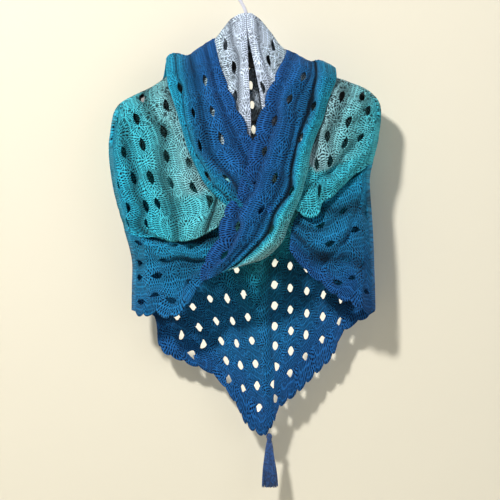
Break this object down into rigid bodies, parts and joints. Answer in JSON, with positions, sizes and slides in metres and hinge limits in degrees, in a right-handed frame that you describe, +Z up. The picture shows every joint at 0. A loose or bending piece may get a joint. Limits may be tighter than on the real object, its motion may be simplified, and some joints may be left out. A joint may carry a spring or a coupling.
{
  "type": "crochet shawl on a clothes hanger",
  "caption": "Triangular crochet lace shawl draped over a clothes hanger as a wrap, its ends crossed on the chest, with a tassel at the back point.",
  "frame": {"origin": "the seat at the top of the hook's inside, where it rests on a rail", "axes": "+Z up, front of the shawl towards -Y, +X to the right as seen from the front"},
  "size_m": [0.4822, 0.1484, 0.9062],
  "materials": {
    "lace_back": "matte crochet cotton, lilac grey through teal to navy",
    "lace_front": "matte crochet cotton, lilac grey through sage to turquoise",
    "lace_lower": "matte crochet cotton, turquoise to royal blue",
    "lace_band": "matte crochet cotton, navy to turquoise",
    "tassel": "matte twisted cotton yarn",
    "hanger": "smooth moulded plastic",
    "hook": "smooth coated wire"
  },
  "bodies": {
    "root": {"back": "lace_back", "front_left": "lace_front", "front_right": "lace_front", "arm_left": "lace_lower", "arm_right": "lace_lower", "band_over": "lace_band", "band_under": "lace_band", "tassel": "tassel", "hanger": "hanger", "hook": "hook"}
  },
  "joints": []
}
